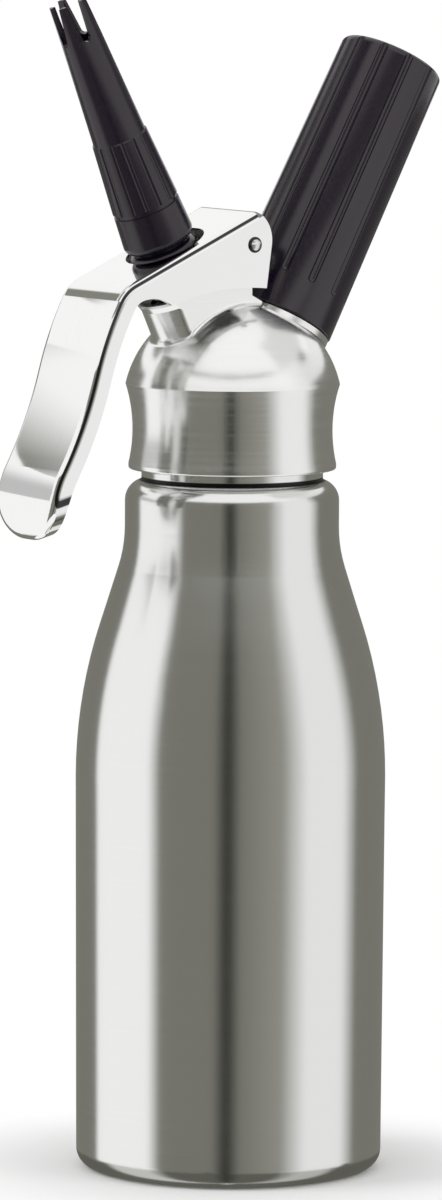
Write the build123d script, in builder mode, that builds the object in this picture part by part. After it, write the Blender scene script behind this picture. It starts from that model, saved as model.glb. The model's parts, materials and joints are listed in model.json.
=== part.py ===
from build123d import *
import os
from math import asin, cos, degrees, radians, sin, sqrt

# Whipped cream dispenser, half-litre size, in millimetres.
# +Z up, origin on the bottle's axis in the plane it stands on. The squeeze lever is
# towards -X, the charger holder towards +X, and the XZ plane is the plane of symmetry.

os.makedirs("parts", exist_ok=True)

# ---- Clearances ------------------------------------------------------------------
part_gap = 0.3          # between pieces that move apart
running_gap = 0.05      # radial, shaft in its bore
seat_gap = 0.1          # between flat faces that rest on each other
thread_gap = 0.4        # radial, where a screw thread is left out

# ---- Bottle ----------------------------------------------------------------------
bottle_radius = 40.0
bottle_wall = 1.2
foot_radius = 39.5
foot_round = 5.0
foot_ring_width = 4.0
foot_recess = 1.6
foot_recess_slope = 2.5
belly_height = 102.0
shoulder_angle = 17.5
shoulder_radius = 130.0
blend_radius = 35.0
throat_radius = 27.6
throat_length = 6.8
throat_round = 5.4
neck_radius = 23.4
neck_wall = 1.6
neck_rise = 24.7            # of the mouth over the throat
mouth_round = 0.5

# ---- Head: collar and dome -------------------------------------------------------
collar_overlap = 16.6       # of the collar over the bottle's neck
collar_lip_radius = 26.75
collar_lip_height = 1.4
collar_lip_round = 0.6
collar_waist_radius = 25.75
collar_waist_rise = 10.0    # over the collar's bottom
crease_radius = 27.6
crease_rise = 5.3           # over the bottle's mouth
dome_radius = 28.3
gasket_thickness = 2.4
gasket_width = 4.2
cavity_radius = 16.4

# ---- Head: the two tilted axes ---------------------------------------------------
valve_drop = 6.7            # of the valve axis's start, under the bottle's mouth
charger_drop = 3.6          # of the charger axis's start, under the bottle's mouth
valve_tilt = 24.7
charger_tilt = 28.2

# ---- Valve boss, stations along the valve axis from its start --------------------
boss_radius = 10.7
boss_rim_radius = 11.2
boss_rim_height = 2.0
boss_rim_round = 0.5
boss_top = 40.8
recess_radius = 7.9
recess_floor = 27.5
mouth_cone_radius = 9.4
mouth_cone_depth = 1.4
seat_plane = 22.0
seat_hole_radius = 4.7
seat_pocket_radius = 8.2
guide_ledge = 2.2

# ---- Valve -----------------------------------------------------------------------
stem_radius = 4.0
stem_bore_radius = 2.2
stem_thread_radius = 3.0
inlet_radius = 0.9
inlet_rise = 1.3
seal_radius = 7.2
seal_thickness = 2.4
nut_across_flats = 12.0
nut_thickness = 3.0
stem_tail = 0.8
bushing_radius = 6.0
bushing_flange_radius = 7.6
bushing_flange_thickness = 1.2
bushing_tube_radius = 5.2
bushing_tube_length = 2.8
o_ring_wire = 1.1
o_ring_station = 30.0
washer_radius = 12.1
washer_thickness = 1.4
washer_top = 48.2
spring_radius = 6.5
spring_wire = 1.3
spring_turns = 6.5

# ---- Adapter and decorator tip ---------------------------------------------------
adapter_ring_radius = 9.0
adapter_ring_height = 4.7
adapter_ring_round = 1.7
adapter_neck_radius = 6.0
adapter_neck_gap = 0.7
adapter_spigot_radius = 5.6
adapter_spigot_length = 8.4
stem_top_setback = 1.0
tip_length = 68.0
tip_base_radius = 9.4
tip_base_round = 2.2
tip_skirt_radius = 8.75
tip_skirt_length = 10.4
tip_groove_width = 1.2
tip_groove_depth = 0.45
tip_rib_length = 18.5
tip_step_radius = 7.35
tip_step = 0.35
tip_root_radius = 5.35
tip_end_radius = 4.85
tip_wall = 1.5
tip_socket_depth = 10.0
tip_prongs = 5
tip_prong_length = 10.2
tip_slot_root = 2.2
tip_slot_mouth = 3.9
tip_slot_phase = 39.5
tip_flutes = 15
tip_flute_radius = 0.75
tip_flute_depth = 0.3

# ---- Charger seat, stations along the charger axis -------------------------------
seat_top = 28.3
seat_flange_radius = 14.5
seat_flange_thickness = 1.5
seat_neck_radius = 12.1
spigot_radius = 9.6
spigot_height = 6.1
connector_radius = 5.2
connector_depth = 9.5
connector_head_radius = 7.0
connector_floor = 1.0
connector_rim = 1.5
pin_shaft_radius = 1.1
pin_bore_radius = 0.45
pin_rise = 3.4
pin_point = 1.8
nipple_radius = 2.4
nipple_length = 3.2
check_wall = 1.0
charger_gasket_hole = 2.6

# ---- Charger holder --------------------------------------------------------------
holder_radius = 14.8
holder_top_radius = 13.75
holder_length = 76.4
holder_edge_round = 1.8
holder_foot_round = 0.5
holder_crown = 0.9
holder_end_wall = 2.6
socket_radius = 9.4
insert_wall = 1.7
insert_length = 9.0
insert_setback = 0.8
holder_grooves = 12
holder_groove_phase = 14.2
holder_groove_width = 2.4
holder_groove_depth = 0.75
holder_skirt = 10.5

# ---- Lever -----------------------------------------------------------------------
lever_width = 28.0
sheet = 1.5
sheet_bend = 1.8
plate_top = 52.4
plate_rear = 22.2
plate_front = 18.8
knee_radius = 10.0
knee_turn = 37.3
upper_radius = 88.0
upper_turn = 13.0
lower_radius = 106.0
lower_turn = 14.0
curl_radius = 25.0
curl_turn = 44.0
flange_depth = 5.1
handle_end_round = 12.2
window_half_width = 10.6
window_front = 9.5
window_rear = 11.3
window_round = 10.0
rib_gap = 0.1
pivot_arm = 17.8
pivot_depth = 7.2
pivot_radius = 1.6
rivet_radius = 2.05
rivet_height = 0.9
lug_radius = 4.6
saddle_half_width = 8.7
saddle_edge_round = 1.5
cast_blend = 2.0
saddle_height = 39.0
cheek_rear = 5.2
cheek_shoulder = 6.4
cheek_heel_ahead = 3.7
cheek_heel_drop = 11.2
cheek_belly_back = 11.8
cheek_belly_drop = 11.5
cheek_toe_back = 25.1
cheek_toe_drop = 14.7
cheek_arch_height = 1.1

# ---- Places that follow from the sizes above -------------------------------------
# The belly arc, the straight shoulder and the blend into the throat run tangent.
lean = radians(shoulder_angle)
arcs_drop = (shoulder_radius + blend_radius) * (1 - cos(lean))
shoulder_run = (bottle_radius - throat_radius - arcs_drop) / sin(lean)
throat_start = belly_height + (shoulder_radius + blend_radius) * sin(lean) + shoulder_run * cos(lean)
throat_end = throat_start + throat_length
mouth_height = throat_end + neck_rise
collar_bottom = mouth_height - collar_overlap
collar_waist_height = collar_bottom + collar_waist_rise
crease_height = mouth_height + crease_rise
valve_start = mouth_height - valve_drop
charger_start = mouth_height - charger_drop
valve_dir = (-sin(radians(valve_tilt)), 0, cos(radians(valve_tilt)))
charger_dir = (sin(radians(charger_tilt)), 0, cos(radians(charger_tilt)))
valve_foot = (0, 0, valve_start)
charger_foot = (0, 0, charger_start)
valve_axis = Axis(valve_foot, valve_dir)
charger_axis = Axis(charger_foot, charger_dir)

# Half-plane of each axis: local x is the radius, local y the distance along the axis.
valve_plane = Plane(valve_foot, x_dir=(valve_dir[2], 0, -valve_dir[0]), z_dir=(0, -1, 0))
charger_plane = Plane(charger_foot, x_dir=(charger_dir[2], 0, -charger_dir[0]), z_dir=(0, -1, 0))


def valve_point(across, along):
    """XZ place of a point given across and along the valve axis."""
    x = across * valve_dir[2] + along * valve_dir[0]
    z = valve_start - across * valve_dir[0] + along * valve_dir[2]
    return (x, z)


def across_valve(along):
    """Plane square to the valve axis at a station along it."""
    x, z = valve_point(0, along)
    return Plane((x, 0, z), x_dir=(valve_dir[2], 0, -valve_dir[0]), z_dir=valve_dir)


def charger_point(across, along):
    """XZ place of a point given across and along the charger axis."""
    x = across * charger_dir[2] + along * charger_dir[0]
    z = charger_start - across * charger_dir[0] + along * charger_dir[2]
    return (x, z)


def turned(plane, axis, points, mode=Mode.ADD):
    """Body or bore of revolution of a closed polygon of (radius, station) points."""
    with BuildSketch(plane) as section:
        with BuildLine():
            Polyline(*points, close=True)
        make_face()
    revolve(section.sketch, axis=axis, mode=mode)


def rings(piece, radius):
    """Round edges of a piece that have a given radius."""
    circles = piece.edges().filter_by(GeomType.CIRCLE)
    return circles.filter_by(lambda edge: abs(edge.radius - radius) < running_gap)


def finish(piece, label):
    """Name a piece and write its file."""
    piece.part.label = label
    export_step(piece.part, f"parts/{label}.step")


# ---- Bottle ----------------------------------------------------------------------
mouth_radius = neck_radius - neck_wall
ring_inside = foot_radius - foot_round - foot_ring_width
half_turn = radians(45)


def bottle_side(inset):
    """Outline of the bottle at a depth under its skin, from the foot up to the mouth."""
    neck = neck_radius if inset == 0 else mouth_radius
    neck_arc = throat_round - inset
    arc_centre = throat_radius - throat_round
    foot = Polyline(
        (0, foot_recess + inset), (ring_inside - foot_recess_slope, foot_recess + inset),
        (ring_inside, inset), (foot_radius - foot_round, inset))
    RadiusArc(foot @ 1, (foot_radius - inset, foot_round), inset - foot_round)
    shoulder = CenterArc(
        (bottle_radius - shoulder_radius, belly_height), shoulder_radius - inset, 0, shoulder_angle)
    Line((foot_radius - inset, foot_round), shoulder @ 0)
    blend = CenterArc(
        (throat_radius + blend_radius, throat_start), blend_radius + inset, 180, shoulder_angle)
    Line(shoulder @ 1, blend @ 1)
    throat = Line(blend @ 0, (throat_radius - inset, throat_end))
    reach = max(neck - arc_centre, 0)
    level = throat_end + sqrt(neck_arc ** 2 - reach ** 2)
    ThreePointArc(
        throat @ 1,
        (arc_centre + neck_arc * cos(half_turn), throat_end + neck_arc * sin(half_turn)),
        (arc_centre + reach, level))
    step = [(neck, level)] if neck < arc_centre else []
    Polyline((arc_centre + reach, level), *step, (neck, mouth_height), (0, mouth_height), foot @ 0)


with BuildPart() as bottle:
    for inset, mode in ((0, Mode.ADD), (bottle_wall, Mode.SUBTRACT)):
        with BuildSketch(Plane.XZ):
            with BuildLine():
                bottle_side(inset)
            make_face()
        revolve(axis=Axis.Z, mode=mode)
    fillet(bottle.edges().group_by(Axis.Z)[-1], mouth_round)
finish(bottle, "bottle")

# ---- Head gasket -----------------------------------------------------------------
gasket_bottom = mouth_height + part_gap
gasket_top = gasket_bottom + gasket_thickness
ceiling = gasket_top + seat_gap
with BuildPart() as head_gasket:
    turned(Plane.XZ, Axis.Z, [
        (neck_radius - gasket_width, gasket_bottom), (neck_radius, gasket_bottom),
        (neck_radius, gasket_top), (neck_radius - gasket_width, gasket_top)])
finish(head_gasket, "head_gasket")

# ---- Head casting ----------------------------------------------------------------
dome_centre = crease_height - sqrt(dome_radius ** 2 - crease_radius ** 2)
dome_top = dome_centre + dome_radius
pivot_x, pivot_z = valve_point(pivot_arm, plate_top - pivot_depth)
pivot_plane = Plane((pivot_x, 0, pivot_z), x_dir=(1, 0, 0), z_dir=(0, -1, 0))
collar_bore = neck_radius + thread_gap
bushing_end = seat_plane + guide_ledge
spigot_top = seat_top + spigot_height
connector_end = spigot_top - connector_depth
gas_way = nipple_radius + check_wall + part_gap
seat_face_radius = holder_radius + part_gap
saddle_end = charger_point(-seat_face_radius, seat_top)

# The casting's neck: valve boss, web to the charger seat and pivot lug, between two flats.
with BuildPart() as head_neck:
    turned(valve_plane, valve_axis, [
        (0, seat_plane), (boss_radius, seat_plane), (boss_radius, boss_top - boss_rim_height),
        (boss_rim_radius, boss_top - boss_rim_round), (boss_rim_radius - boss_rim_round, boss_top),
        (0, boss_top)])
    with BuildSketch(Plane.XZ):
        with BuildLine():
            Polyline(
                valve_point(0, recess_floor), valve_point(0, saddle_height),
                valve_point(pivot_arm - lug_radius, saddle_height),
                valve_point(pivot_arm - lug_radius, plate_top - pivot_depth),
                (pivot_x, pivot_z), (saddle_end[0], pivot_z), saddle_end,
                charger_point(0, seat_top), (0, dome_centre), close=True)
        make_face()
        with Locations((pivot_x, pivot_z)):
            Circle(lug_radius)
    extrude(amount=saddle_half_width, both=True)
    for side, kept in ((1, Keep.BOTTOM), (-1, Keep.TOP)):
        split(bisect_by=Plane.XZ.offset(side * saddle_half_width), keep=kept)
    flat_edges = head_neck.edges().filter_by(valve_axis).filter_by(
        lambda edge: abs(abs((edge @ 0.5).Y) - saddle_half_width) < running_gap
        and edge.length > boss_rim_height)
    fillet(flat_edges, saddle_edge_round)

with BuildPart() as head_casting:
    # Collar with its waist, and the dome above the crease.
    with BuildSketch(Plane.XZ):
        with BuildLine():
            lip_top = (collar_lip_radius, collar_bottom + collar_lip_height)
            Polyline((0, dome_top), (0, collar_bottom), (collar_lip_radius, collar_bottom), lip_top)
            ThreePointArc(
                lip_top, (collar_waist_radius, collar_waist_height), (crease_radius, crease_height))
            ThreePointArc(
                (crease_radius, crease_height),
                (dome_radius * cos(half_turn), dome_centre + dome_radius * sin(half_turn)),
                (0, dome_top))
        make_face()
    revolve(axis=Axis.Z)
    fillet(head_casting.edges().group_by(Axis.Z)[0], collar_lip_round)

    # Neck, blended into the dome.
    add(head_neck.part)
    dome_edges = head_casting.edges().filter_by(
        lambda edge: all(
            abs((edge @ place - Vector(0, 0, dome_centre)).length - dome_radius) < running_gap
            for place in (0, 0.5, 1)) and (edge @ 0.5).Z > crease_height + cast_blend)
    fillet(dome_edges, cast_blend)

    # Charger seat: neck, flange and threaded spigot.
    turned(charger_plane, charger_axis, [
        (0, cavity_radius), (seat_neck_radius, cavity_radius),
        (seat_neck_radius, seat_top - seat_flange_thickness),
        (seat_flange_radius, seat_top - seat_flange_thickness), (seat_flange_radius, seat_top),
        (spigot_radius, seat_top), (spigot_radius, spigot_top), (0, spigot_top)])

    # Flat round the charger seat, sunk into the dome for the holder's foot.
    turned(charger_plane, charger_axis, [
        (spigot_radius, seat_top), (seat_face_radius, seat_top),
        (seat_face_radius, seat_top + seat_face_radius),
        (spigot_radius, seat_top + seat_face_radius)], Mode.SUBTRACT)

    # Bores: thread, cavity, valve and charger passages, pin.
    turned(Plane.XZ, Axis.Z, [
        (0, collar_bottom), (collar_bore, collar_bottom), (collar_bore, ceiling), (0, ceiling)],
        Mode.SUBTRACT)
    with Locations((0, 0, dome_centre)):
        Sphere(cavity_radius, mode=Mode.SUBTRACT)
    turned(valve_plane, valve_axis, [
        (0, 0), (seat_pocket_radius, 0), (seat_pocket_radius, seat_plane),
        (seat_hole_radius, seat_plane), (seat_hole_radius, bushing_end),
        (bushing_radius, bushing_end), (bushing_radius, recess_floor),
        (recess_radius, recess_floor), (recess_radius, boss_top - mouth_cone_depth),
        (mouth_cone_radius, boss_top), (mouth_cone_radius, plate_top), (0, plate_top)],
        Mode.SUBTRACT)
    turned(charger_plane, charger_axis, [
        (0, 0), (gas_way, 0), (gas_way, connector_end), (connector_radius, connector_end),
        (connector_radius, spigot_top), (0, spigot_top)], Mode.SUBTRACT)
    with BuildSketch(pivot_plane):
        Circle(pivot_radius)
    extrude(amount=lever_width, both=True, mode=Mode.SUBTRACT)
finish(head_casting, "head_casting")

# ---- Lever pin -------------------------------------------------------------------
rivet_start = lever_width / 2 + seat_gap
rivet_end = rivet_start + rivet_height
head_radius = (rivet_radius ** 2 + rivet_height ** 2) / (2 * rivet_height)
head_angle = degrees(asin(rivet_radius / head_radius))
pin_plane = Plane((pivot_x, 0, pivot_z), x_dir=(0, 1, 0), z_dir=(1, 0, 0))
pin_axis = Axis((pivot_x, 0, pivot_z), (0, 1, 0))
with BuildPart() as lever_pin:
    with BuildSketch(pin_plane):
        with BuildLine():
            CenterArc((rivet_end - head_radius, 0), head_radius, 0, head_angle)
            Line((rivet_end, 0), (-rivet_end, 0))
            CenterArc((head_radius - rivet_end, 0), head_radius, 180, -head_angle)
            Polyline(
                (-rivet_start, rivet_radius), (-rivet_start, pivot_radius),
                (rivet_start, pivot_radius), (rivet_start, rivet_radius))
        make_face()
    revolve(axis=pin_axis)
finish(lever_pin, "lever_pin")

# ---- Valve stem and its seals ----------------------------------------------------
seal_top = seat_plane - part_gap
seal_bottom = seal_top - seal_thickness
nut_bottom = seal_bottom - nut_thickness
inlet_station = seat_plane + inlet_rise
groove_floor = stem_radius - o_ring_wire
groove_half = o_ring_wire / 2 + seat_gap
adapter_top = washer_top + adapter_ring_height
tip_base = adapter_top + adapter_neck_gap
spigot_end = tip_base + adapter_spigot_length
stem_top = spigot_end - stem_top_setback

with BuildPart() as valve_stem:
    turned(valve_plane, valve_axis, [
        (0, nut_bottom - stem_tail), (stem_thread_radius, nut_bottom - stem_tail),
        (stem_thread_radius, seal_top), (stem_radius, seal_top),
        (stem_radius, o_ring_station - groove_half), (groove_floor, o_ring_station - groove_half),
        (groove_floor, o_ring_station + groove_half), (stem_radius, o_ring_station + groove_half),
        (stem_radius, stem_top), (stem_bore_radius, stem_top), (stem_bore_radius, seal_top),
        (0, seal_top)])
    inlet_x, inlet_z = valve_point(0, inlet_station)
    for direction in ((0, 1, 0), (valve_dir[2], 0, -valve_dir[0])):
        with BuildSketch(Plane((inlet_x, 0, inlet_z), z_dir=direction)):
            Circle(inlet_radius)
        extrude(amount=stem_radius + part_gap, both=True, mode=Mode.SUBTRACT)
finish(valve_stem, "valve_stem")

with BuildPart() as valve_seal:
    turned(valve_plane, valve_axis, [
        (stem_thread_radius, seal_bottom), (seal_radius, seal_bottom), (seal_radius, seal_top),
        (stem_thread_radius, seal_top)])
finish(valve_seal, "valve_seal")

with BuildPart() as seal_nut:
    with BuildSketch(across_valve(nut_bottom)):
        RegularPolygon(nut_across_flats / 2, 6, major_radius=False)
        Circle(stem_thread_radius, mode=Mode.SUBTRACT)
    extrude(amount=nut_thickness)
finish(seal_nut, "seal_nut")

with BuildPart() as stem_o_ring:
    with BuildSketch(valve_plane):
        with Locations((groove_floor + o_ring_wire / 2 + running_gap / 2, o_ring_station)):
            Circle(o_ring_wire / 2)
    revolve(axis=valve_axis)
finish(stem_o_ring, "stem_o_ring")

with BuildPart() as valve_bushing:
    guide_radius = stem_radius + running_gap
    flange_top = recess_floor + bushing_flange_thickness
    turned(valve_plane, valve_axis, [
        (guide_radius, bushing_end), (bushing_radius, bushing_end), (bushing_radius, recess_floor),
        (bushing_flange_radius, recess_floor), (bushing_flange_radius, flange_top),
        (bushing_tube_radius, flange_top), (bushing_tube_radius, flange_top + bushing_tube_length),
        (guide_radius, flange_top + bushing_tube_length)])
finish(valve_bushing, "valve_bushing")

# ---- Thrust washer and valve spring ----------------------------------------------
washer_bottom = washer_top - washer_thickness
with BuildPart() as thrust_washer:
    turned(valve_plane, valve_axis, [
        (stem_radius, washer_bottom), (washer_radius, washer_bottom), (washer_radius, washer_top),
        (stem_radius, washer_top)])
finish(thrust_washer, "thrust_washer")

spring_start = flange_top + spring_wire / 2 + seat_gap
spring_height = washer_bottom - spring_wire / 2 - seat_gap - spring_start
with BuildPart() as valve_spring:
    start_x, start_z = valve_point(0, spring_start)
    with BuildLine():
        coil = Helix(
            spring_height / spring_turns, spring_height, spring_radius,
            center=(start_x, 0, start_z), direction=valve_dir)
    with BuildSketch(Plane(origin=coil @ 0, z_dir=coil % 0)):
        Circle(spring_wire / 2)
    sweep()
finish(valve_spring, "valve_spring")

# ---- Adapter that carries the tip ------------------------------------------------
with BuildPart() as tip_adapter:
    turned(valve_plane, valve_axis, [
        (stem_radius, washer_top), (adapter_ring_radius, washer_top),
        (adapter_ring_radius, adapter_top), (adapter_neck_radius, adapter_top),
        (adapter_neck_radius, tip_base - part_gap), (adapter_spigot_radius, tip_base - part_gap),
        (adapter_spigot_radius, spigot_end), (stem_radius, spigot_end)])
    fillet(rings(tip_adapter, adapter_ring_radius), adapter_ring_round)
finish(tip_adapter, "tip_adapter")

socket_end = tip_base + tip_socket_depth
socket_wall = adapter_spigot_radius + thread_gap
tip_bore_root = socket_wall - tip_wall
with BuildPart() as tip_gasket:
    turned(valve_plane, valve_axis, [
        (tip_bore_root, spigot_end + part_gap), (socket_wall - seat_gap, spigot_end + part_gap),
        (socket_wall - seat_gap, socket_end - seat_gap), (tip_bore_root, socket_end - seat_gap)])
finish(tip_gasket, "tip_gasket")

# ---- Decorator tip ---------------------------------------------------------------
tip_end = tip_base + tip_length
tip_root = tip_end - tip_prong_length
skirt_end = tip_base + tip_skirt_length
ribs_start = skirt_end + tip_groove_width
ribs_end = ribs_start + tip_rib_length
flute_offset = tip_flute_radius - tip_flute_depth
flute_start = valve_plane.from_local_coords((tip_skirt_radius + flute_offset, ribs_start))
flute_stop = valve_plane.from_local_coords((tip_step_radius + flute_offset, ribs_end))
with BuildPart() as tip_flute:
    with BuildSketch(Plane(flute_start, z_dir=flute_stop - flute_start)):
        Circle(tip_flute_radius)
    extrude(amount=tip_rib_length + tip_flute_radius)

with BuildPart() as decorator_tip:
    turned(valve_plane, valve_axis, [
        (0, tip_base), (tip_base_radius, tip_base), (tip_skirt_radius, skirt_end),
        (tip_skirt_radius - tip_groove_depth, skirt_end),
        (tip_skirt_radius - tip_groove_depth, ribs_start), (tip_skirt_radius, ribs_start),
        (tip_step_radius, ribs_end), (tip_step_radius - tip_step, ribs_end + tip_step),
        (tip_root_radius, tip_root), (tip_end_radius, tip_end), (0, tip_end)])
    fillet(rings(decorator_tip, tip_base_radius), tip_base_round)
    turned(valve_plane, valve_axis, [
        (0, tip_base), (socket_wall, tip_base), (socket_wall, socket_end), (tip_bore_root, socket_end),
        (tip_end_radius - tip_wall, tip_end), (0, tip_end)], Mode.SUBTRACT)

    for count in range(tip_flutes):
        turn = count * 360 / tip_flutes
        add(tip_flute.part.rotate(valve_axis, turn), mode=Mode.SUBTRACT)

    # Slots between the prongs: round at the root and wider at the mouth.
    slot_centre = tip_root + tip_slot_root / 2
    slot_x, slot_z = valve_point(0, slot_centre)
    mouth_rise = tip_end - slot_centre + part_gap
    for count in range(tip_prongs):
        turn = tip_slot_phase + count * 360 / tip_prongs
        outward = Vector(valve_dir[2], 0, -valve_dir[0]).rotate(valve_axis, turn)
        tangent = Vector(0, 1, 0).rotate(valve_axis, turn)
        with BuildSketch(Plane((slot_x, 0, slot_z), x_dir=tangent, z_dir=outward)):
            Circle(tip_slot_root / 2)
            with BuildLine():
                Polyline(
                    (-tip_slot_root / 2, 0), (tip_slot_root / 2, 0),
                    (tip_slot_mouth / 2, mouth_rise), (-tip_slot_mouth / 2, mouth_rise), close=True)
            make_face()
        extrude(amount=tip_base_radius, mode=Mode.SUBTRACT)
finish(decorator_tip, "decorator_tip")

# ---- Charger connector, its pin and seals ----------------------------------------
cup_floor = spigot_top + connector_floor
cup_rim = cup_floor + connector_rim
nipple_end = connector_end - nipple_length
pin_seat = cup_floor - connector_rim * 4
with BuildPart() as charger_connector:
    turned(charger_plane, charger_axis, [
        (0, nipple_end), (nipple_radius, nipple_end), (nipple_radius, connector_end),
        (connector_radius, connector_end), (connector_radius, spigot_top),
        (connector_head_radius, spigot_top), (connector_head_radius, cup_rim),
        (connector_radius, cup_rim), (connector_radius, cup_floor), (0, cup_floor)])
    turned(charger_plane, charger_axis, [
        (0, nipple_end + connector_floor), (pin_bore_radius, nipple_end + connector_floor),
        (pin_bore_radius, pin_seat), (pin_shaft_radius, pin_seat), (pin_shaft_radius, cup_floor),
        (0, cup_floor)], Mode.SUBTRACT)
finish(charger_connector, "charger_connector")

with BuildPart() as piercing_pin:
    pin_tip = cup_floor + pin_rise
    turned(charger_plane, charger_axis, [
        (pin_bore_radius, pin_seat), (pin_shaft_radius, pin_seat),
        (pin_shaft_radius, pin_tip - pin_point), (pin_bore_radius, pin_tip)])
finish(piercing_pin, "piercing_pin")

with BuildPart() as charger_gasket:
    turned(charger_plane, charger_axis, [
        (charger_gasket_hole, cup_floor), (connector_radius, cup_floor),
        (connector_radius, cup_rim - seat_gap), (charger_gasket_hole, cup_rim - seat_gap)])
finish(charger_gasket, "charger_gasket")

with BuildPart() as check_valve:
    turned(charger_plane, charger_axis, [
        (nipple_radius, nipple_end), (nipple_radius + check_wall, nipple_end),
        (nipple_radius + check_wall, connector_end), (nipple_radius, connector_end)])
finish(check_valve, "check_valve")

# ---- Charger holder and its threaded insert --------------------------------------
holder_foot = seat_top + part_gap
holder_end = holder_foot + holder_length
insert_start = holder_foot + insert_setback
insert_end = insert_start + insert_length
insert_bore = spigot_radius + thread_gap
insert_seat = insert_bore + insert_wall
with BuildPart() as holder_insert:
    turned(charger_plane, charger_axis, [
        (insert_bore, insert_start), (insert_seat - running_gap, insert_start),
        (insert_seat - running_gap, insert_end), (insert_bore, insert_end)])
finish(holder_insert, "holder_insert")

holder_drop = holder_radius - holder_top_radius
crown_radius = (holder_top_radius ** 2 + holder_crown ** 2) / (2 * holder_crown)
crown_angle = degrees(asin(holder_top_radius / crown_radius))
with BuildPart() as holder_groove:
    # One groove's cutter: a rod with a ball end, laid along the sleeve's draft.
    groove_start = holder_foot + holder_skirt
    start_radius = holder_radius - holder_drop * holder_skirt / holder_length
    rod_offset = holder_groove_width / 2 - holder_groove_depth
    groove_root = charger_plane.from_local_coords((start_radius + rod_offset, groove_start))
    groove_top = charger_plane.from_local_coords((holder_top_radius + rod_offset, holder_end))
    groove_dir = (groove_top - groove_root).normalized()
    with BuildSketch(Plane(groove_root, z_dir=groove_dir)):
        Circle(holder_groove_width / 2)
    extrude(amount=holder_length)
    with Locations(groove_root):
        Sphere(holder_groove_width / 2)

with BuildPart() as charger_holder:
    with BuildSketch(charger_plane):
        with BuildLine():
            Polyline(
                (0, holder_end), (0, holder_foot), (holder_radius, holder_foot),
                (holder_top_radius, holder_end - holder_crown))
            CenterArc((0, holder_end - crown_radius), crown_radius, 90 - crown_angle, crown_angle)
        make_face()
    revolve(axis=charger_axis)
    fillet(rings(charger_holder, holder_top_radius), holder_edge_round)
    fillet(rings(charger_holder, holder_radius), holder_foot_round)
    turned(charger_plane, charger_axis, [
        (0, holder_foot), (insert_bore, holder_foot), (insert_bore, insert_start - seat_gap),
        (insert_seat, insert_start - seat_gap), (insert_seat, insert_end + seat_gap),
        (socket_radius, insert_end + seat_gap), (socket_radius, holder_end - holder_end_wall),
        (0, holder_end - holder_end_wall)], Mode.SUBTRACT)
    for count in range(holder_grooves):
        turn = holder_groove_phase + count * 360 / holder_grooves
        add(holder_groove.part.rotate(charger_axis, turn), mode=Mode.SUBTRACT)
finish(charger_holder, "charger_holder")

# ---- Lever -----------------------------------------------------------------------
def handle_path(depth, curl):
    """Draw the handle at a depth under the sheet's outer face; give its end and heading."""
    start = valve_point(-plate_front, plate_top - depth)
    knee = JernArc(start, (-valve_dir[2], valve_dir[0]), knee_radius - depth, knee_turn)
    upper = JernArc(knee @ 1, knee % 1, upper_radius - depth, upper_turn)
    lower = JernArc(upper @ 1, upper % 1, lower_radius + depth, -lower_turn)
    curled = JernArc(lower @ 1, lower % 1, curl_radius - depth, curl)
    return curled @ 1, curled % 1


def corners(piece, place, half_width):
    """Edges along the sheet's thickness at both corners of the handle's end."""
    return piece.edges().filter_by(
        lambda edge: abs(abs((edge @ 0.5).Y) - half_width) < running_gap
        and (Vector((edge @ 0.5).X, (edge @ 0.5).Z) - place).length < sheet)


toe = (pivot_x - cheek_toe_back, pivot_z - cheek_toe_drop)
heel = (pivot_x + cheek_heel_ahead, pivot_z - cheek_heel_drop)
belly = (pivot_x - cheek_belly_back, pivot_z - cheek_belly_drop)
eye = (pivot_x + cheek_rear, pivot_z)
shoulder = (pivot_x + cheek_shoulder * cos(half_turn), pivot_z + cheek_shoulder * sin(half_turn))
knee_inside = valve_point(-plate_front, plate_top - flange_depth)
arch = ((toe[0] + knee_inside[0]) / 2, (toe[1] + knee_inside[1]) / 2 + cheek_arch_height)
inner_half = lever_width / 2 - sheet
channel_reach = 3 * lever_width

# The hollow between the flanges, open downwards and to the rear.
with BuildPart() as channel:
    with BuildSketch(Plane.XZ):
        with BuildLine():
            inner_end, heading = handle_path(sheet, curl_turn - degrees(sheet / curl_radius))
            inward = heading.rotate(Axis.Z, 90)
            below = inner_end + inward * channel_reach
            Polyline(
                inner_end, below, valve_point(plate_rear + lever_width, plate_top - sheet),
                valve_point(-plate_front, plate_top - sheet))
        make_face()
    extrude(amount=inner_half, both=True)
    end_edges = channel.edges().filter_by(
        lambda edge: abs(abs((edge @ 0.5).Y) - inner_half) < running_gap
        and abs(edge.length - channel_reach) < running_gap)
    fillet(end_edges, handle_end_round - sheet)

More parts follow.
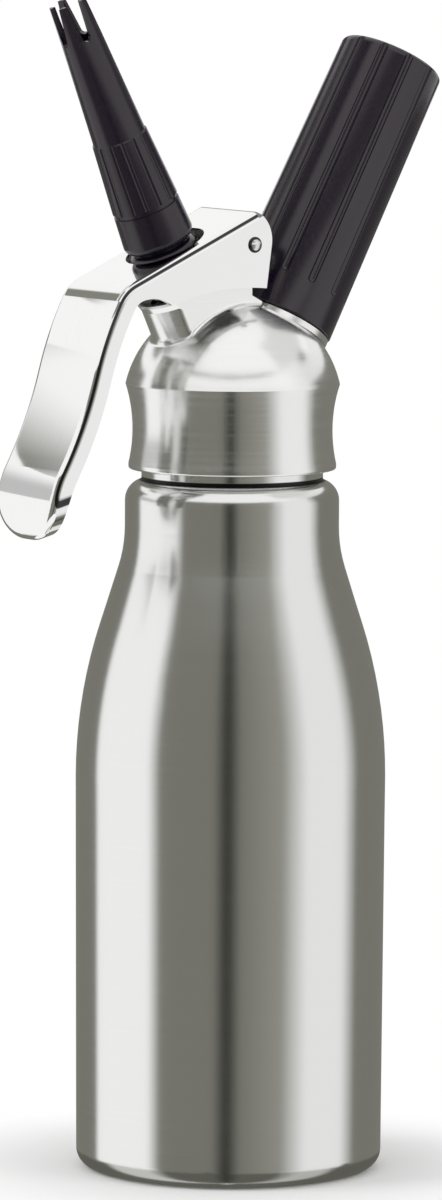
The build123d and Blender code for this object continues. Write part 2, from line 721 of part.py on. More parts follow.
with BuildPart() as lever:
    with BuildSketch(Plane.XZ):
        with BuildLine():
            handle_end, heading = handle_path(0, curl_turn)
            flange_end, heading = handle_path(flange_depth, curl_turn)
            Line(handle_end, flange_end)
            crest_line = Line(
                valve_point(-plate_front, plate_top), valve_point(plate_rear, plate_top))
            ThreePointArc(crest_line @ 1, shoulder, eye)
            Line(eye, heel)
            ThreePointArc(heel, belly, toe)
            ThreePointArc(toe, arch, knee_inside)
        make_face()
    extrude(amount=lever_width / 2, both=True)
    end_corners = corners(lever, (handle_end + flange_end) / 2, lever_width / 2)
    fillet(end_corners, handle_end_round)

    # The press bend along both sides and round the handle's end.
    skin_radii = (knee_radius, upper_radius, lower_radius, curl_radius)
    skin = lever.faces().filter_by(GeomType.CYLINDER).filter_by(
        lambda face: min(abs(face.radius - radius) for radius in skin_radii) < running_gap)
    skin += lever.faces().filter_by(GeomType.PLANE).filter_by(
        lambda face: face.normal_at().dot(Vector(*valve_dir)) > cos(radians(1)))
    skin_edges = [edge for face in skin for edge in face.edges()]
    rim = [edge for edge in skin_edges if skin_edges.count(edge) == 1
           and abs((edge @ 0.5).Y) > running_gap]
    rim += [edge for edge in skin_edges if abs((edge @ 0.5).Y) < running_gap
            and ((edge @ 0.5) - Vector(handle_end.X, 0, handle_end.Y)).length < running_gap]
    fillet(rim, sheet_bend)

    # Hollow of the channel, window over the saddle, holes for the pin.
    add(channel.part, mode=Mode.SUBTRACT)
    with BuildSketch(across_valve(plate_top)):
        with Locations(((window_rear - window_front) / 2, 0)):
            RectangleRounded(window_rear + window_front, 2 * window_half_width, window_round)
    extrude(amount=-2 * sheet, mode=Mode.SUBTRACT)
    with BuildSketch(pivot_plane):
        Circle(pivot_radius + running_gap)
    extrude(amount=lever_width, both=True, mode=Mode.SUBTRACT)

    # Ribs under the side lips that press on the thrust washer.
    rib_radius = plate_top - sheet - washer_top - rib_gap
    rib_x, rib_z = valve_point(0, plate_top - sheet)
    rib_plane = Plane((rib_x, 0, rib_z), x_dir=(valve_dir[2], 0, -valve_dir[0]), z_dir=(0, -1, 0))
    for side in (1, -1):
        with BuildSketch(rib_plane.offset(side * window_half_width)):
            Circle(rib_radius)
            with Locations((0, rib_radius)):
                Rectangle(2 * rib_radius, 2 * rib_radius, mode=Mode.SUBTRACT)
        extrude(amount=side * (inner_half - window_half_width))
finish(lever, "lever")
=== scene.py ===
import bpy
import json
from math import acos, cos, pi, radians, sin
from mathutils import Matrix, Vector


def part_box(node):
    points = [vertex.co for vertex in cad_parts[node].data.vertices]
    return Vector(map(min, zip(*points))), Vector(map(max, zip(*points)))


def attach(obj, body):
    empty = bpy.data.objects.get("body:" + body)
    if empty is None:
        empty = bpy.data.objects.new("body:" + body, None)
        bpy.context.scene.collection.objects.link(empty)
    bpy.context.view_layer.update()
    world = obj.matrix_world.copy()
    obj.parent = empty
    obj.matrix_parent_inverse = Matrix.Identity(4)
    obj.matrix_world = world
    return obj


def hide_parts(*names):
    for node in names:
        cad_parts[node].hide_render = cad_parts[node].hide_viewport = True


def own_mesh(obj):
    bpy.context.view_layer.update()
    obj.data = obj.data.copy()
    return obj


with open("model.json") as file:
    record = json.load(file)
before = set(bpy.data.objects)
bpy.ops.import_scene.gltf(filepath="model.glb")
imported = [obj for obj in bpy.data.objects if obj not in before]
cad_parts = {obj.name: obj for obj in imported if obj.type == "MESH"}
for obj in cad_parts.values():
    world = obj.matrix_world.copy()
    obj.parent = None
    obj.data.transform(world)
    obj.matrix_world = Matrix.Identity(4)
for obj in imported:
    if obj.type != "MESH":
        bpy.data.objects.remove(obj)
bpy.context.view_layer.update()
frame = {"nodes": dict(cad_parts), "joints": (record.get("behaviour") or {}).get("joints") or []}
bpy.ops.object.select_all(action="DESELECT")

# ---- The studio -------------------------------------------------------------------
# A pale worktop under a white sky, with two soft lamps. A drum of painted board stands
# round the dispenser, and only what the metal mirrors shows it.
scene = bpy.context.scene
scene.view_settings.view_transform = "Standard"

worktop_size = 40.0
worktop_white = 0.97
worktop_roughness = 0.9
shadow_reach = 0.043
white_reach = 0.1
bpy.ops.mesh.primitive_plane_add(size=worktop_size)
worktop = bpy.context.object
worktop.name = "worktop"
worktop.visible_glossy = False
paint = bpy.data.materials.new("worktop_white")
paint.use_nodes = True
nodes = paint.node_tree.nodes
links = paint.node_tree.links
shader = nodes["Principled BSDF"]
shader.inputs["Base Color"].default_value = (worktop_white, worktop_white, worktop_white, 1)
shader.inputs["Roughness"].default_value = worktop_roughness
shader.inputs["Specular IOR Level"].default_value = 0.0
glow = nodes.new("ShaderNodeEmission")
coordinates = nodes.new("ShaderNodeTexCoord")
distance = nodes.new("ShaderNodeVectorMath")
distance.operation = "LENGTH"
links.new(coordinates.outputs["Object"], distance.inputs[0])
fade = nodes.new("ShaderNodeMapRange")
fade.interpolation_type = "SMOOTHSTEP"
fade.inputs["From Min"].default_value = shadow_reach
fade.inputs["From Max"].default_value = white_reach
links.new(distance.outputs["Value"], fade.inputs["Value"])
rays = nodes.new("ShaderNodeLightPath")
far = nodes.new("ShaderNodeMath")
far.operation = "MULTIPLY"
links.new(fade.outputs["Result"], far.inputs[0])
links.new(rays.outputs["Is Camera Ray"], far.inputs[1])
mixed = nodes.new("ShaderNodeMixShader")
links.new(far.outputs[0], mixed.inputs["Fac"])
links.new(shader.outputs[0], mixed.inputs[1])
links.new(glow.outputs[0], mixed.inputs[2])
links.new(mixed.outputs[0], nodes["Material Output"].inputs["Surface"])
worktop.data.materials.append(paint)

sky_strength = 0.72
seen_sky_strength = 1.0
world = bpy.data.worlds.new("white_sky")
scene.world = world
world.use_nodes = True
nodes = world.node_tree.nodes
links = world.node_tree.links
sky = nodes["Background"]
sky.inputs["Color"].default_value = (1, 1, 1, 1)
rays = nodes.new("ShaderNodeLightPath")
seen = nodes.new("ShaderNodeMath")
seen.operation = "MAXIMUM"
links.new(rays.outputs["Is Camera Ray"], seen.inputs[0])
links.new(rays.outputs["Is Glossy Ray"], seen.inputs[1])
seen_through = nodes.new("ShaderNodeMath")
seen_through.operation = "MAXIMUM"
links.new(seen.outputs[0], seen_through.inputs[0])
links.new(rays.outputs["Is Transmission Ray"], seen_through.inputs[1])
level = nodes.new("ShaderNodeMapRange")
level.inputs["To Min"].default_value = sky_strength
level.inputs["To Max"].default_value = seen_sky_strength
links.new(seen_through.outputs[0], level.inputs["Value"])
links.new(level.outputs["Result"], sky.inputs["Strength"])

# The camera stands to the left of the front, a little above the dispenser's top. Its roll
# is small, and view_height is what its frame takes in at the dispenser.
camera_azimuth = radians(-33.5)
camera_distance = 2.13
camera_height = 0.368
aim_height = 0.1475
aim_across = -0.0027
roll = radians(0.33)
view_height = 0.3095
sensor_width = 36.0
sight_limit = 100
back = Vector((sin(camera_azimuth), -cos(camera_azimuth), 0))
across = Vector((cos(camera_azimuth), sin(camera_azimuth), 0))
camera_data = bpy.data.cameras.new("camera")
camera = bpy.data.objects.new("camera", camera_data)
scene.collection.objects.link(camera)
scene.camera = camera
target = across * aim_across + Vector((0, 0, aim_height))
camera.location = across * aim_across + back * camera_distance + Vector((0, 0, camera_height))
line_of_sight = target - camera.location
camera.rotation_mode = "QUATERNION"
camera.rotation_quaternion = (
    line_of_sight.to_track_quat("-Z", "Y") @ Matrix.Rotation(roll, 3, "Z").to_quaternion())
camera_data.sensor_width = sensor_width
camera_data.lens = sensor_width * line_of_sight.length / view_height
camera_data.clip_end = sight_limit

# Two soft lamps, one high on each side of the camera: the degrees to the camera's right,
# the height and the power of each.
lamp_distance = 1.5
lamp_width = 1.0
lamp_aim = Vector((0, 0, 0.15))
for name, degrees_right, height, power in (
        ("key_lamp", -75, 1.3, 9.0), ("fill_lamp", 60, 1.0, 5.0)):
    lamp = bpy.data.lights.new(name, "AREA")
    lamp.shape = "DISK"
    lamp.size = lamp_width
    lamp.energy = power
    stand = bpy.data.objects.new(name, lamp)
    scene.collection.objects.link(stand)
    azimuth = camera_azimuth + radians(degrees_right)
    stand.location = (lamp_distance * sin(azimuth), -lamp_distance * cos(azimuth), height)
    stand.rotation_euler = (lamp_aim - stand.location).to_track_quat("-Z", "Y").to_euler()
    stand.visible_glossy = False

# The drum in tiers: grey board with a white panel on each side of the camera and a narrow
# black strip in front, and hoops close round the dome and the foot. Each tier has a radius,
# a lowest and highest edge, and its paint as (degrees to the right of the camera, level).
olive = Vector((1.0, 1.0, 0.84))
white = Vector((1.0, 1.0, 1.0))
olive_fade = 1.2
drum_sides = 96
board_grey = 0.2
pale_grey = 0.3
strip_black = 0.04
panel_white = 1.0
soft_white = 0.9
front_panels = (
    (-118, board_grey), (-113, panel_white), (-62, panel_white), (-52, board_grey),
    (-12, board_grey), (-4, strip_black), (0, strip_black), (8, board_grey), (38, pale_grey),
    (58, soft_white), (90, soft_white), (106, board_grey))
tiers = {
    "low_drum": (0.6, -0.4, 0.5, ((-180, board_grey), *front_panels, (180, board_grey))),
    "middle_drum": (0.6, 0.5, 0.66, (
        (-180, 1.0), (-134, 1.0), (-131, 0.24), (-120, 0.24), *front_panels, (120, 1.0),
        (180, 1.0))),
    "high_drum": (0.6, 0.66, 1.5, (
        (-180, 1.0), (-150, 1.0), (-146, 0.6), (-114, 0.8), (-84, 0.5), (-76, 0.16), (-58, 0.16),
        (-50, 1.0), (60, 1.0), (64, 0.75), (140, 0.75), (180, 1.0))),
    "lower_hoop": (0.16, 0.25, 0.285, ((-180, 1.0), (60, 1.0), (90, 0.8), (180, 1.0))),
    "upper_hoop": (0.16, 0.285, 0.3, (
        (-180, 1.0), (-131, 1.0), (-129, 0.24), (-109, 0.24), (-107, 1.0), (60, 1.0), (90, 0.8),
        (180, 1.0))),
    "foot_hoop": (0.05, -1.0, -0.0005, (
        (-180, 0.12), (-70, 0.12), (-62, 0.6), (-40, 0.6), (-30, 0.12), (-8, 0.12), (-1, 0.04),
        (6, 0.12), (22, 0.12), (34, 0.5), (50, 0.5), (58, 0.12), (180, 0.12)))}


def hang(board, paint):
    """Paint a board and hang it where only what mirrors it shows it."""
    board.data.materials.append(paint)
    board.visible_camera = False
    board.visible_diffuse = False
    board.visible_transmission = False
    board.visible_shadow = False


for name, (radius, low, high, stops) in tiers.items():
    bpy.ops.mesh.primitive_cylinder_add(
        vertices=drum_sides, radius=radius, depth=high - low, end_fill_type="NOTHING",
        location=(0, 0, (low + high) / 2), rotation=(0, 0, camera_azimuth))
    drum = bpy.context.object
    drum.name = name
    paint = bpy.data.materials.new(name)
    paint.use_nodes = True
    nodes = paint.node_tree.nodes
    links = paint.node_tree.links
    coordinates = nodes.new("ShaderNodeTexCoord")
    parts = nodes.new("ShaderNodeSeparateXYZ")
    links.new(coordinates.outputs["Object"], parts.inputs[0])
    ahead = nodes.new("ShaderNodeMath")
    ahead.operation = "MULTIPLY"
    ahead.inputs[1].default_value = -1.0
    links.new(parts.outputs["Y"], ahead.inputs[0])
    turn = nodes.new("ShaderNodeMath")
    turn.operation = "ARCTAN2"
    links.new(parts.outputs["X"], turn.inputs[0])
    links.new(ahead.outputs[0], turn.inputs[1])
    place = nodes.new("ShaderNodeMapRange")
    place.inputs["From Min"].default_value = -pi
    place.inputs["From Max"].default_value = pi
    links.new(turn.outputs[0], place.inputs["Value"])
    ramp = nodes.new("ShaderNodeValToRGB")
    stretch = ramp.color_ramp
    for number, (degrees_right, value) in enumerate(stops):
        along = (degrees_right + 180) / 360
        if number == 0:
            stop = stretch.elements[0]
            stop.position = along
        elif number == len(stops) - 1:
            stop = stretch.elements[-1]
            stop.position = along
        else:
            stop = stretch.elements.new(along)
        tint = olive.lerp(white, min(1.0, value * olive_fade))
        stop.color = (*(tint * value), 1)
    links.new(place.outputs["Result"], ramp.inputs["Fac"])
    glow = nodes.new("ShaderNodeEmission")
    links.new(ramp.outputs["Color"], glow.inputs["Color"])
    links.new(glow.outputs[0], nodes["Material Output"].inputs["Surface"])
    hang(drum, paint)

# A small grey card stands low behind the lever and shades the end of its handle. Its grey
# is even at the foot and fades to white further up, in shares of the card's height.
card_place = (-0.095, 0.067, 0.201)
card_size = (0.07, 0.028, 1)
card_turn = radians(-152.5)
card_grey = 0.56
fade_low = -0.1
fade_high = 0.5
bpy.ops.mesh.primitive_plane_add(
    size=1.0, location=card_place, rotation=(pi / 2, 0, card_turn))
card = bpy.context.object
card.name = "handle_card"
card.scale = card_size
paint = bpy.data.materials.new("handle_card")
paint.use_nodes = True
nodes = paint.node_tree.nodes
links = paint.node_tree.links
coordinates = nodes.new("ShaderNodeTexCoord")
parts = nodes.new("ShaderNodeSeparateXYZ")
links.new(coordinates.outputs["Object"], parts.inputs[0])
fade = nodes.new("ShaderNodeMapRange")
fade.interpolation_type = "SMOOTHSTEP"
fade.inputs["From Min"].default_value = fade_low
fade.inputs["From Max"].default_value = fade_high
fade.inputs["To Min"].default_value = card_grey
fade.inputs["To Max"].default_value = 1.0
links.new(parts.outputs["Y"], fade.inputs["Value"])
glow = nodes.new("ShaderNodeEmission")
links.new(fade.outputs["Result"], glow.inputs["Strength"])
links.new(glow.outputs[0], nodes["Material Output"].inputs["Surface"])
hang(card, paint)

# ---- Bottle -----------------------------------------------------------------------
# The pressure bottle, deep drawn from stainless sheet. It was brushed while it turned in
# a lathe; a thin band of painted shade runs round the corner under the neck. The neck's thread
# is rolled.
bottle_steel = (0.86, 0.86, 0.85)
bottle_roughness = 0.17
bottle_grain = (0.2, 0.2, 0.00025)
bottle_stretch = 0.5
quarter_turn = 0.25
# Lowest and highest edge of the band of painted shade round the corner under the neck.
painted_neck_shade_low = 0.1786
painted_neck_shade_high = 0.1797


def position(material, foot=(0, 0, 0), tilt=0.0, unit=(1, 1, 1)):
    """Where a point lies from a foot, in a frame tilted about Y and in units of its own."""
    nodes = material.node_tree.nodes
    coordinates = nodes.new("ShaderNodeTexCoord")
    place = nodes.new("ShaderNodeMapping")
    place.vector_type = "TEXTURE"
    place.inputs["Location"].default_value = foot
    place.inputs["Rotation"].default_value = (0, tilt, 0)
    place.inputs["Scale"].default_value = unit
    material.node_tree.links.new(coordinates.outputs["Object"], place.inputs["Vector"])
    return place.outputs[0]


def split(material, vector):
    """The three parts of a position."""
    parts = material.node_tree.nodes.new("ShaderNodeSeparateXYZ")
    material.node_tree.links.new(vector, parts.inputs[0])
    return parts.outputs


def zone(material, limits, soft=0.0001):
    """1 inside all the limits, each a measure with its lowest and highest value, else 0."""
    nodes = material.node_tree.nodes
    links = material.node_tree.links
    inside = None
    for measure, low, high in limits:
        for edge, before, after in ((low, 0.0, 1.0), (high, 1.0, 0.0)):
            side = nodes.new("ShaderNodeMapRange")
            side.inputs["From Min"].default_value = edge - soft
            side.inputs["From Max"].default_value = edge + soft
            side.inputs["To Min"].default_value = before
            side.inputs["To Max"].default_value = after
            links.new(measure, side.inputs["Value"])
            if inside is None:
                inside = side.outputs["Result"]
            else:
                both = nodes.new("ShaderNodeMath")
                both.operation = "MULTIPLY"
                links.new(inside, both.inputs[0])
                links.new(side.outputs["Result"], both.inputs[1])
                inside = both.outputs[0]
    return inside


def refinish(material, inside, tone=None, roughness=None):
    """Give a material another grey or another roughness inside a zone."""
    nodes = material.node_tree.nodes
    links = material.node_tree.links
    grey = tone and (tone, tone, tone, 1)
    for name, kind, value in (("Base Color", "RGBA", grey), ("Roughness", "FLOAT", roughness)):
        if value is None:
            continue
        socket = nodes["Principled BSDF"].inputs[name]
        mix = nodes.new("ShaderNodeMix")
        mix.data_type = kind
        mix.inputs["B"].default_value = value
        links.new(inside, mix.inputs["Factor"])
        links.new(socket.links[0].from_socket, mix.inputs["A"])
        links.new(mix.outputs["Result"], socket)


def vary(material, pattern, colours, roughness, spread, relief, depth, reach=(0.0, 1.0)):
    """Let a pattern move the colour, the gloss and the relief of a material a little."""
    nodes = material.node_tree.nodes
    links = material.node_tree.links
    shader = nodes["Principled BSDF"]
    tone = nodes.new("ShaderNodeMix")
    tone.data_type = "RGBA"
    tone.inputs["A"].default_value = (*colours[0], 1)
    tone.inputs["B"].default_value = (*colours[1], 1)
    links.new(pattern, tone.inputs["Factor"])
    links.new(tone.outputs["Result"], shader.inputs["Base Color"])
    gloss = nodes.new("ShaderNodeMapRange")
    gloss.inputs["From Min"].default_value = reach[0]
    gloss.inputs["From Max"].default_value = reach[1]
    gloss.inputs["To Min"].default_value = roughness - spread
    gloss.inputs["To Max"].default_value = roughness + spread
    links.new(pattern, gloss.inputs["Value"])
    links.new(gloss.outputs["Result"], shader.inputs["Roughness"])
    bump = nodes.new("ShaderNodeBump")
    bump.inputs["Strength"].default_value = relief
    bump.inputs["Distance"].default_value = depth
    links.new(pattern, bump.inputs["Height"])
    links.new(bump.outputs["Normal"], shader.inputs["Normal"])


def steel(name, colour, roughness, grain, scratch, spread, tilt=0.0, foot=(0, 0, 0)):
    """Steel whose last polish left fine lines; grain is the size of one line, in metres."""
    line_shade = 0.93
    line_depth = 0.00001
    line_reach = (0.3, 0.7)
    material = bpy.data.materials.new(name)
    material.use_nodes = True
    nodes = material.node_tree.nodes
    nodes["Principled BSDF"].inputs["Metallic"].default_value = 1.0
    lines = nodes.new("ShaderNodeTexNoise")
    lines.inputs["Scale"].default_value = 1.0
    lines.inputs["Detail"].default_value = 3.0
    lines.inputs["Roughness"].default_value = 0.6
    material.node_tree.links.new(position(material, foot, tilt, grain), lines.inputs["Vector"])
    shaded = tuple(channel * line_shade for channel in colour)
    vary(
        material, lines.outputs["Fac"], (shaded, colour), roughness, spread, relief=scratch,
        depth=line_depth, reach=line_reach)
    return material


def dress(name, material):
    """Give a CAD node its finish."""
    node = frame["nodes"][name]
    node.data.materials.clear()
    node.data.materials.append(material)


def wound(name, wire_radius, corners, turn_radius, start, turns, rise, turn_steps, foot, tilt):
    """A wire wound up an axis that stands tilted on its foot."""
    crease_angle = radians(50)
    bpy.ops.mesh.primitive_circle_add(
        vertices=corners, radius=wire_radius, location=(turn_radius, 0, start),
        rotation=(pi / 2, 0, 0))
    piece = bpy.context.object
    piece.name = name
    bpy.ops.object.transform_apply(location=True, rotation=True, scale=True)
    wind = piece.modifiers.new("wind", "SCREW")
    wind.angle = 2 * pi * turns
    wind.screw_offset = rise
    wind.steps = wind.render_steps = int(turn_steps * turns)
    wind.use_merge_vertices = False
    bpy.ops.object.modifier_apply(modifier=wind.name)
    bpy.ops.object.mode_set(mode="EDIT")
    bpy.ops.mesh.select_all(action="SELECT")
    bpy.ops.mesh.fill_holes(sides=0)
    bpy.ops.mesh.select_all(action="SELECT")
    bpy.ops.mesh.normals_make_consistent(inside=False)
    bpy.ops.object.mode_set(mode="OBJECT")
    bpy.ops.object.shade_smooth_by_angle(angle=crease_angle)
    piece.location = foot
    piece.rotation_euler = (0, tilt, 0)
    bpy.ops.object.transform_apply(location=True, rotation=True, scale=True)
    piece.select_set(False)
    return piece


def thread(name, radius, start, turns, pitch, ridge, body, material, foot=(0, 0, 0), tilt=0.0):
    """The ridge of a screw thread, which rides on the body that it is cut in."""
    ridge_corners = 6
    ridge_steps = 48
    piece = wound(
        name, ridge, ridge_corners, radius, start, turns, pitch * turns, ridge_steps, foot, tilt)
    piece.data.materials.append(material)
    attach(piece, body)


brushed = steel(
    "brushed_bottle_steel", bottle_steel, bottle_roughness, bottle_grain, scratch=0.1,
    spread=0.03)
shader = brushed.node_tree.nodes["Principled BSDF"]
shader.inputs["Anisotropic"].default_value = bottle_stretch
shader.inputs["Anisotropic Rotation"].default_value = quarter_turn
round_grain = brushed.node_tree.nodes.new("ShaderNodeTangent")
round_grain.direction_type = "RADIAL"
round_grain.axis = "Z"
brushed.node_tree.links.new(round_grain.outputs["Tangent"], shader.inputs["Tangent"])
height = split(brushed, position(brushed))["Z"]
# Round the corner under the neck the steel is painted near black and duller: painted shade.
painted_neck_shade = zone(brushed, ((height, painted_neck_shade_low, painted_neck_shade_high),))
refinish(brushed, painted_neck_shade, tone=0.03, roughness=0.4)
dress("bottle", brushed)

neck_radius = 0.0234
neck_thread_pitch = 0.003
neck_thread_turns = 5.2
neck_thread_ridge = 0.0003
neck_thread_drop = 0.0183
bottle_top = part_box("bottle")[1].z
thread(
    "neck_thread", neck_radius, bottle_top - neck_thread_drop, neck_thread_turns,
    neck_thread_pitch, neck_thread_ridge, "bottle", brushed)

# ---- Head gasket ------------------------------------------------------------------
# The moulded silicone ring that seals the bottle's mouth. It is pressed up into the head
# and lifts off with it.
silicone_colour = (0.62, 0.6, 0.56)


def rubber(name, colour, roughness):
    """Moulded rubber, dull, with the fine skin that the mould leaves."""
    skin_shade = 0.85
    material = bpy.data.materials.new(name)
    material.use_nodes = True
    nodes = material.node_tree.nodes
    nodes["Principled BSDF"].inputs["Specular IOR Level"].default_value = 0.35
    coordinates = nodes.new("ShaderNodeTexCoord")
    skin = nodes.new("ShaderNodeTexNoise")
    skin.inputs["Scale"].default_value = 1800.0
    skin.inputs["Detail"].default_value = 2.0
    material.node_tree.links.new(coordinates.outputs["Object"], skin.inputs["Vector"])
    shaded = tuple(channel * skin_shade for channel in colour)
    vary(
        material, skin.outputs["Fac"], (shaded, colour), roughness, spread=0.06, relief=0.15,
        depth=0.00005)
    return material


dress("head_gasket", rubber("gasket_silicone", silicone_colour, roughness=0.5))

# ---- Head casting -----------------------------------------------------------------
# The head is one steel casting: collar, dome, flat-sided neck for the valve and the seat
# of the charger. It is ground all over and polished to a fine satin.
joints = {joint["name"]: joint for joint in frame["joints"]}
charger_axis = Vector(joints["holder_lift"]["axis"])
charger_foot = Vector(joints["holder_turn"]["pos_m"])
valve_axis = Vector(joints["tip_lift"]["axis"])
valve_foot = Vector(joints["tip_turn"]["pos_m"])
charger_tilt = acos(charger_axis.z)
valve_tilt = -acos(valve_axis.z)
satin_steel = (0.92, 0.92, 0.91)
satin_grain = (0.03, 0.03, 0.0006)
satin = steel(
    "satin_head_steel", satin_steel, 0.19, satin_grain, scratch=0.2, spread=0.04)
dress("head_casting", satin)

spigot_radius = 0.0096
spigot_start = 0.0296
spigot_pitch = 0.0014
spigot_turns = 3
spigot_ridge = 0.0003
thread(
    "charger_seat_thread", spigot_radius, spigot_start, spigot_turns, spigot_pitch, spigot_ridge,
    "head", satin, charger_foot, charger_tilt)

# ---- Valve ------------------------------------------------------------------------
# Stem, nut and washer are turned from stainless bar, the guide bushing from brass. The
# rubber disc is the seal, and an O-ring keeps the cream out of the spring's pocket.
valve_steel = (0.78, 0.78, 0.77)
valve_brass = (0.72, 0.5, 0.22)
seal_colour = (0.02, 0.02, 0.021)
lathe_grain = (0.02, 0.02, 0.0003)
turned = steel(
    "turned_valve_steel", valve_steel, 0.24, lathe_grain, scratch=0.3, spread=0.05,
    tilt=valve_tilt, foot=valve_foot)
for name in ("valve_stem", "seal_nut", "thrust_washer"):
    dress(name, turned)
dress("valve_bushing", steel(
    "turned_valve_brass", valve_brass, 0.25, lathe_grain, scratch=0.3, spread=0.05,
    tilt=valve_tilt, foot=valve_foot))
seal_black = rubber("seal_rubber", seal_colour, roughness=0.55)
for name in ("valve_seal", "stem_o_ring"):
    dress(name, seal_black)

# ---- Valve spring -----------------------------------------------------------------
# A coil of spring wire between the bushing's flange and the washer, which it pushes up.
spring_steel = (0.55, 0.55, 0.55)
spring_grain = (0.0008, 0.0008, 0.0008)
wire_radius = 0.00065
wire_corners = 12
coil_radius = 0.0065
coil_turns = 6.5
coil_steps = 40
coil_gap = 0.0001
flange_station = 0.0287
washer_station = 0.0468
coil_start = flange_station + wire_radius + coil_gap
coil_length = washer_station - flange_station - 2 * (wire_radius + coil_gap)
spring = wound(
    "valve_coil_spring", wire_radius, wire_corners, coil_radius, coil_start, coil_turns,
    coil_length, coil_steps, valve_foot, valve_tilt)
spring.data.materials.append(steel(
    "spring_wire", spring_steel, 0.3, spring_grain, scratch=0.2, spread=0.06))
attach(spring, "head")
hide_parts("valve_spring")
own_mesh(spring)

# ---- Lever and its pin ------------------------------------------------------------
# The lever is pressed from stainless sheet into an open channel. Its outside is buffed to
# a mirror and its hollow keeps the satin of the sheet. A dark line of painted reflection
# runs along each folded edge. Its pivot is a domed rivet, with painted shade round its bright
# middle.
lever_steel = (0.93, 0.93, 0.925)
lever_grain = (0.03, 0.0003, 0.03)
buffed_roughness = 0.06
hollow_roughness = 0.34
hollow_half_width = 0.0128
hollow_top = 0.0518
hollow_front = -0.0185
# How far from the middle the line of painted reflection runs along each folded edge.
painted_fold_reflection_low = 0.01345
painted_fold_reflection_high = 0.0139
painted_fold_reflection_soft = 0.00005
back_edge = 0.0218
plate_underside = 0.0508
beyond = 1.0                 # past the lever's and the rivet's reach on any side
mirror = steel(
    "buffed_lever_steel", lever_steel, buffed_roughness, lever_grain, scratch=0.06, spread=0.02)
place = split(mirror, position(mirror, valve_foot, valve_tilt))
off_middle = mirror.node_tree.nodes.new("ShaderNodeMath")
off_middle.operation = "ABSOLUTE"
mirror.node_tree.links.new(place["Y"], off_middle.inputs[0])
sideways = off_middle.outputs[0]
hollow = zone(mirror, (
    (sideways, -beyond, hollow_half_width), (place["Z"], -beyond, hollow_top),
    (place["X"], hollow_front, beyond)))
refinish(mirror, hollow, roughness=hollow_roughness)
# Along each folded edge the steel is painted near black: a painted reflection, not a mark of the
# sheet.
painted_fold_reflection = zone(mirror, ((sideways, painted_fold_reflection_low, painted_fold_reflection_high),), soft=painted_fold_reflection_soft)
refinish(mirror, painted_fold_reflection, tone=0.05, roughness=0.25)
cut_edge = zone(mirror, (
    (place["X"], back_edge, beyond), (place["Z"], plate_underside, beyond)))
refinish(mirror, cut_edge, tone=0.25, roughness=0.25)
dress("lever", mirror)

rivet_steel = (0.8, 0.8, 0.79)
rivet_grain = (0.001, 0.001, 0.001)
# Radius round the rivet's axis beyond which its steel is painted dark as shade.
painted_shade_radius = 0.0014
along_ignored = (1, 1000, 1)     # units that leave only the distance from the rivet's axis
rivet = steel("rivet_steel", rivet_steel, 0.16, rivet_grain, scratch=0.1, spread=0.04)
pin_low, pin_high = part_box("lever_pin")
off_axis = rivet.node_tree.nodes.new("ShaderNodeVectorMath")
off_axis.operation = "LENGTH"
rivet.node_tree.links.new(
    position(rivet, (pin_low + pin_high) / 2, unit=along_ignored), off_axis.inputs[0])
# Beyond a small radius from its axis the rivet is painted near black: painted shade round its
# bright middle.
painted_rim_shade = zone(rivet, ((off_axis.outputs["Value"], painted_shade_radius, beyond),))
refinish(rivet, painted_rim_shade, tone=0.05, roughness=0.4)
dress("lever_pin", rivet)

# ---- Adapter and decorator tip ----------------------------------------------------
# Both are moulded in hard black plastic with a slight sheen. The tip screws down on the
# adapter's thread against a rubber ring, and its fluted cone ends in pointed prongs.
plastic_black = (0.008, 0.0035, 0.013)


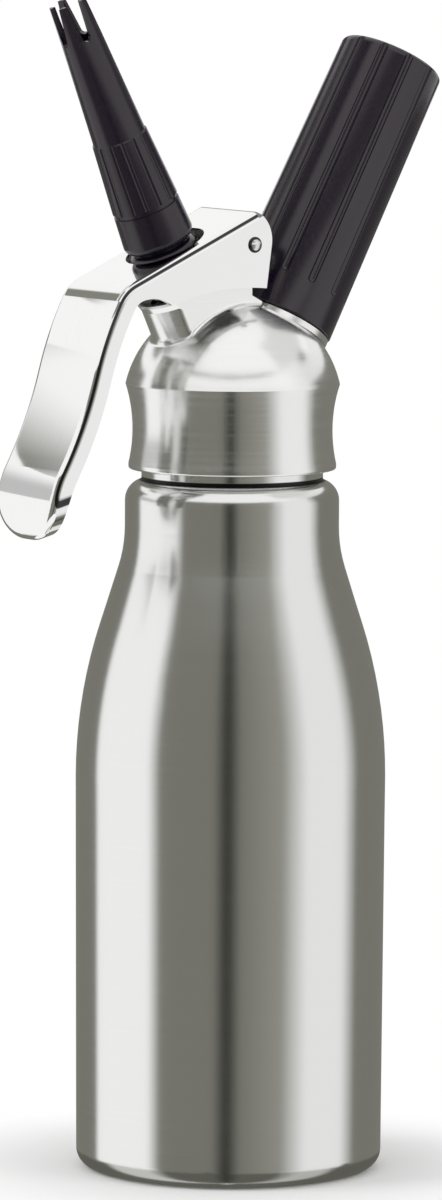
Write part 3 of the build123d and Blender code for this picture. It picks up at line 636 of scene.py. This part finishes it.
def plastic(name, colour, roughness, sheen):
    """Hard moulded plastic with a slight waviness and a fine grain in its gloss."""
    dark_shade = 0.7
    light_shade = 1.3
    material = bpy.data.materials.new(name)
    material.use_nodes = True
    nodes = material.node_tree.nodes
    shader = nodes["Principled BSDF"]
    shader.inputs["Specular IOR Level"].default_value = sheen
    shader.inputs["Specular Tint"].default_value = (1.0, 0.96, 0.93, 1)
    coordinates = nodes.new("ShaderNodeTexCoord")
    grain = nodes.new("ShaderNodeTexNoise")
    grain.inputs["Scale"].default_value = 1200.0
    grain.inputs["Detail"].default_value = 3.0
    material.node_tree.links.new(coordinates.outputs["Object"], grain.inputs["Vector"])
    shades = tuple(
        tuple(channel * shade for channel in colour) for shade in (dark_shade, light_shade))
    vary(
        material, grain.outputs["Fac"], shades, roughness, spread=0.07, relief=0.12,
        depth=0.00003)
    return material


black = plastic("black_tip_plastic", plastic_black, roughness=0.24, sheen=0.6)
for name in ("tip_adapter", "decorator_tip"):
    dress(name, black)
dress("tip_gasket", seal_black)

adapter_thread_radius = 0.0056
adapter_thread_start = 0.0545
adapter_thread_pitch = 0.0016
adapter_thread_turns = 4
adapter_thread_ridge = 0.0003
thread(
    "tip_adapter_thread", adapter_thread_radius, adapter_thread_start, adapter_thread_turns,
    adapter_thread_pitch, adapter_thread_ridge, "valve", black, valve_foot, valve_tilt)

# ---- Charger connector ------------------------------------------------------------
# A brass fitting screwed into the charger seat, with a hollow steel needle that pierces
# the charger, a rubber ring round it and a rubber sleeve that lets gas in but not out.
connector_brass = (0.74, 0.52, 0.24)
needle_steel = (0.8, 0.8, 0.8)
needle_grain = (0.01, 0.01, 0.0002)
dress("charger_connector", steel(
    "connector_brass", connector_brass, 0.22, lathe_grain, scratch=0.3, spread=0.05,
    tilt=charger_tilt, foot=charger_foot))
dress("piercing_pin", steel(
    "needle_steel", needle_steel, 0.15, needle_grain, scratch=0.2, spread=0.04,
    tilt=charger_tilt, foot=charger_foot))
for name in ("charger_gasket", "check_valve"):
    dress(name, seal_black)

# ---- Charger holder ---------------------------------------------------------------
# A long fluted sleeve of the same black plastic, moulded over a threaded metal ring that
# screws on the charger seat.
ring_metal = (0.7, 0.69, 0.66)
dress("charger_holder", plastic(
    "black_holder_plastic", plastic_black, roughness=0.2, sheen=0.7))
dress("holder_insert", steel(
    "holder_ring_metal", ring_metal, 0.28, lathe_grain, scratch=0.3, spread=0.06,
    tilt=charger_tilt, foot=charger_foot))
